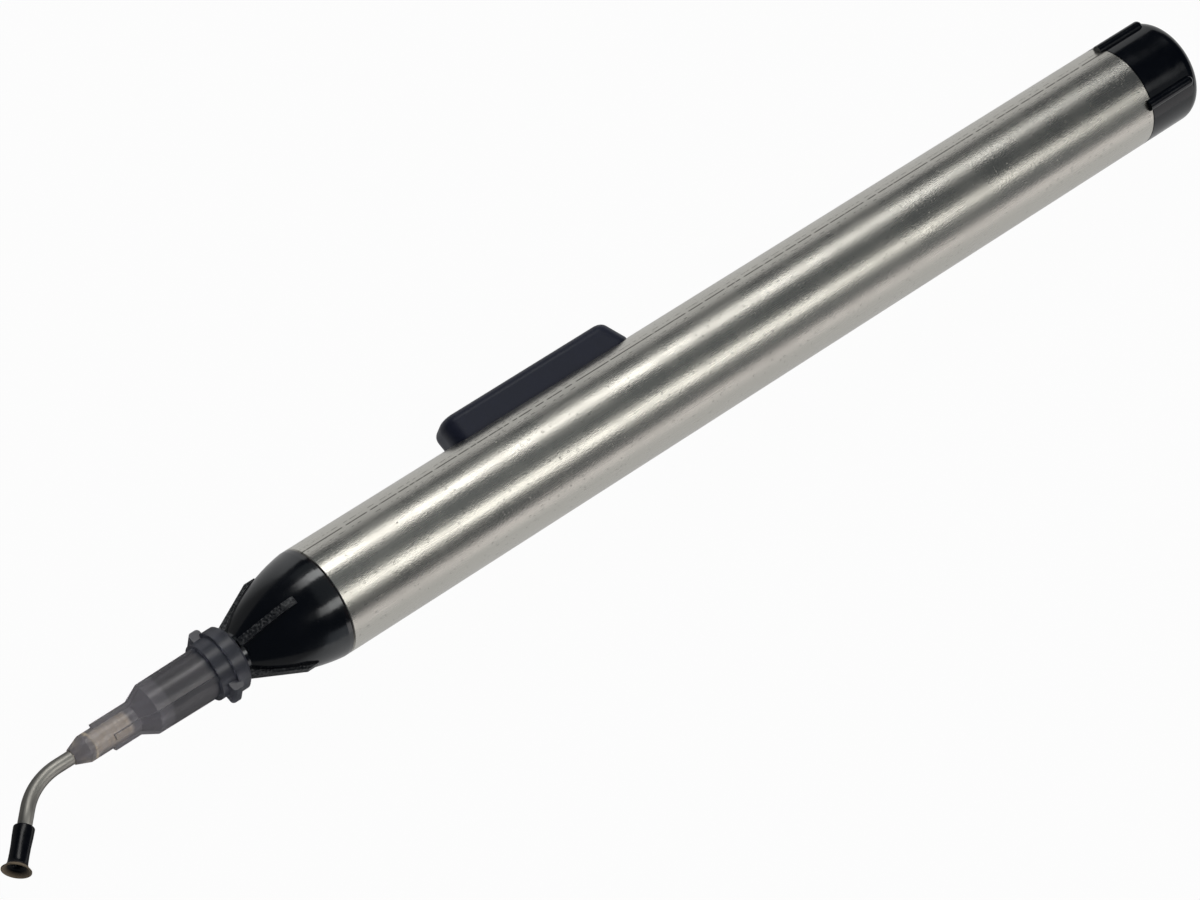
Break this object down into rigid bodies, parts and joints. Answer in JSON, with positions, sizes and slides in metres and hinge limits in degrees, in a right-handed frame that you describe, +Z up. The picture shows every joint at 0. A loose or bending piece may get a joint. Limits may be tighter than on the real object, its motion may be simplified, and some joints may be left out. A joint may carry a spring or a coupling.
{
  "type": "vacuum pick up pen",
  "caption": "Slim steel-barrelled hand vacuum pen with a squeeze button on its side, and a bent needle with a small rubber suction cup for lifting small parts.",
  "frame": {"origin": "centre of the end cap's flat end face, on the barrel's axis", "axes": "+X along the barrel from the needle to the end cap, +Z up as the pen lies on its barrel and one rib of the end cap"},
  "size_m": [0.1627, 0.0162, 0.012],
  "materials": {
    "barrel_steel": "bright drawn stainless tube with fine lengthwise lines",
    "nose_plastic": "glossy black moulding, rough on the outer edges of the fins",
    "tube_silicone": "matt translucent silicone",
    "plug_plastic": "matt black moulding",
    "button_plastic": "satin blue-black moulding",
    "cap_plastic": "glossy black moulding",
    "hub_plastic": "smoky translucent moulding",
    "bond_resin": "amber cement",
    "needle_steel": "bright stainless",
    "cup_rubber": "smooth black rubber"
  },
  "bodies": {
    "pen": {"barrel": "barrel_steel", "nose_cone": "nose_plastic", "squeeze_tube": "tube_silicone", "tube_plug": "plug_plastic", "end_cap": "cap_plastic"},
    "button": {"button": "button_plastic"},
    "tip": {"luer_hub": "hub_plastic", "needle_bond": "bond_resin", "needle": "needle_steel", "suction_cup": "cup_rubber"}
  },
  "joints": [
    {"name": "button_press", "type": "slide", "parent": "pen", "child": "button", "axis": [0, -0.9639, 0.2663], "range_m": [0, 0.0022], "stiffness_N_per_m": 900, "springref_m": -0.0006, "deforming": ["squeeze_tube"]},
    {"name": "hub_turn", "type": "hinge", "parent": "pen", "child": "tip", "pos_m": [-0.135, 0, 0], "axis": [1, 0, 0], "continuous": true}
  ]
}
